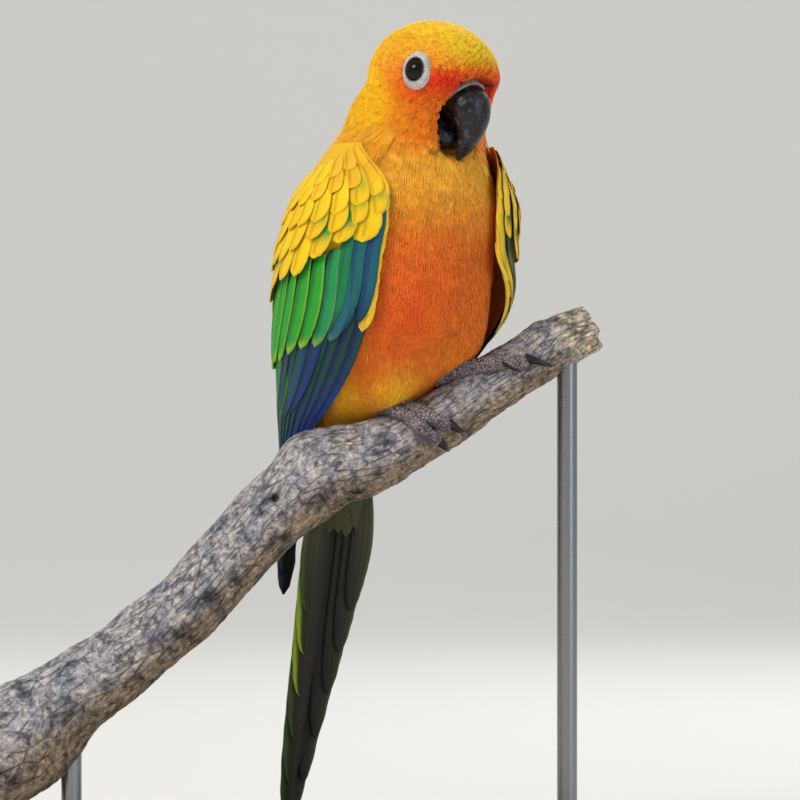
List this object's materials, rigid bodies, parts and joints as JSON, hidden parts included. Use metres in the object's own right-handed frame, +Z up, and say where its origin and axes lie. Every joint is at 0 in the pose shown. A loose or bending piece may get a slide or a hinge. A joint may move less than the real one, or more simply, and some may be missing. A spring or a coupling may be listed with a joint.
{
  "type": "sun conure model",
  "caption": "Still life-size sun conure gripping a cut length of branch, held over a flat base by two rods so that its long tail hangs clear.",
  "frame": {"origin": "middle of the underside of the stand's base", "axes": "+Z up; the perch runs along +X and rises towards it; the bird faces -Y, turned 35 degrees towards +X"},
  "size_m": [0.2777, 0.124, 0.2949],
  "materials": {
    "base": "satin dark stain",
    "rod": "brushed",
    "bark": "rough grey bark",
    "head_feathers": "soft yellow and orange feathers",
    "breast_feathers": "soft orange feathers",
    "skin": "matte off-white bare skin",
    "bill": "satin blackish horn",
    "eye": "glossy near-black",
    "wing_feathers": "yellow, green and blue feathers",
    "tail_feathers": "olive feathers with green edges",
    "foot": "matte grey-pink scaled skin",
    "claw": "satin dark grey horn"
  },
  "bodies": {
    "root": {"stand_base": "base", "stand_rod_1": "rod", "stand_rod_2": "rod", "perch": "bark", "head": "head_feathers", "neck": "breast_feathers", "torso": "breast_feathers", "cere": "skin", "bill_upper": "bill", "bill_lower": "bill", "eye_right": "eye", "eye_left": "eye", "eye_ring_right": "skin", "eye_ring_left": "skin", "wing_right": "wing_feathers", "wing_left": "wing_feathers", "thigh_right": "breast_feathers", "thigh_left": "breast_feathers", "foot_right": "foot", "foot_left": "foot", "tail": "tail_feathers", "claw_right_1": "claw", "claw_right_2": "claw", "claw_right_3": "claw", "claw_right_4": "claw", "claw_left_1": "claw", "claw_left_2": "claw", "claw_left_3": "claw", "claw_left_4": "claw"}
  },
  "joints": []
}
